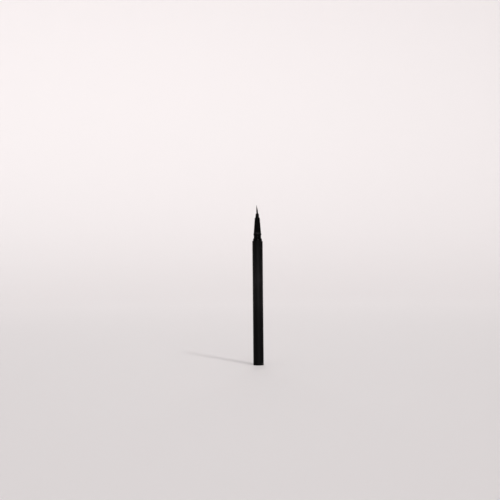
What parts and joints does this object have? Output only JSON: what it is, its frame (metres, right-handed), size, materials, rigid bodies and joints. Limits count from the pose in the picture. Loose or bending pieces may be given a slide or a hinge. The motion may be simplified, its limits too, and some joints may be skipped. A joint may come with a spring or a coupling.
{
  "type": "liquid eyeliner pen",
  "caption": "Slim black liquid eyeliner bottle in the form of a pen, cap off: a tubular tank barrel, a stepped neck for a cap, a tapered front section and a fine pointed brush.",
  "frame": {"origin": "middle of the tail plug's flat foot, on the surface that the pen stands on", "axes": "+Z along the pen, from its foot to the brush's point; +X to the right in the picture, whose camera looks along +Y"},
  "size_m": [0.0088, 0.0088, 0.136],
  "materials": {
    "satin_black_plastic": "satin, soft-touch black",
    "gloss_black_plastic": "semi-gloss as moulded",
    "inked_bristle": "nylon bristles wet with black liquid",
    "inked_felt": "bonded fibre, soaked black",
    "clean_felt": "bonded fibre, off-white",
    "collector_plastic": "natural plastic as moulded",
    "seal_rubber": "dark red rubber",
    "ball_steel": "polished steel"
  },
  "bodies": {
    "bottle": {"barrel": "satin_black_plastic", "tail_plug": "satin_black_plastic"},
    "applicator": {"front_section": "gloss_black_plastic", "collar_ring": "gloss_black_plastic", "brush_holder": "gloss_black_plastic", "brush_root": "inked_bristle", "relay_core": "inked_felt", "absorber_ring": "clean_felt", "collector": "collector_plastic", "sealing_ring": "seal_rubber"},
    "brush": {"brush_tip": "inked_bristle"},
    "ball_1": {"mixing_ball_1": "ball_steel"},
    "ball_2": {"mixing_ball_2": "ball_steel"}
  },
  "joints": [
    {"name": "applicator_pull", "type": "slide", "parent": "bottle", "child": "applicator", "axis": [0, 0, 1], "range_m": [0, 0.048]},
    {"name": "brush_flex", "type": "hinge", "parent": "applicator", "child": "brush", "pos_m": [0, 0, 0.129], "axis": [0, 1, 0], "range_deg": [-30, 30], "stiffness_Nm_per_rad": 0.0008},
    {"name": "ball_1_travel", "type": "slide", "parent": "bottle", "child": "ball_1", "axis": [0, 0, 1], "range_m": [0, 0.047]},
    {"name": "ball_2_travel", "type": "slide", "parent": "bottle", "child": "ball_2", "axis": [0, 0, 1], "range_m": [0, 0.047]}
  ]
}
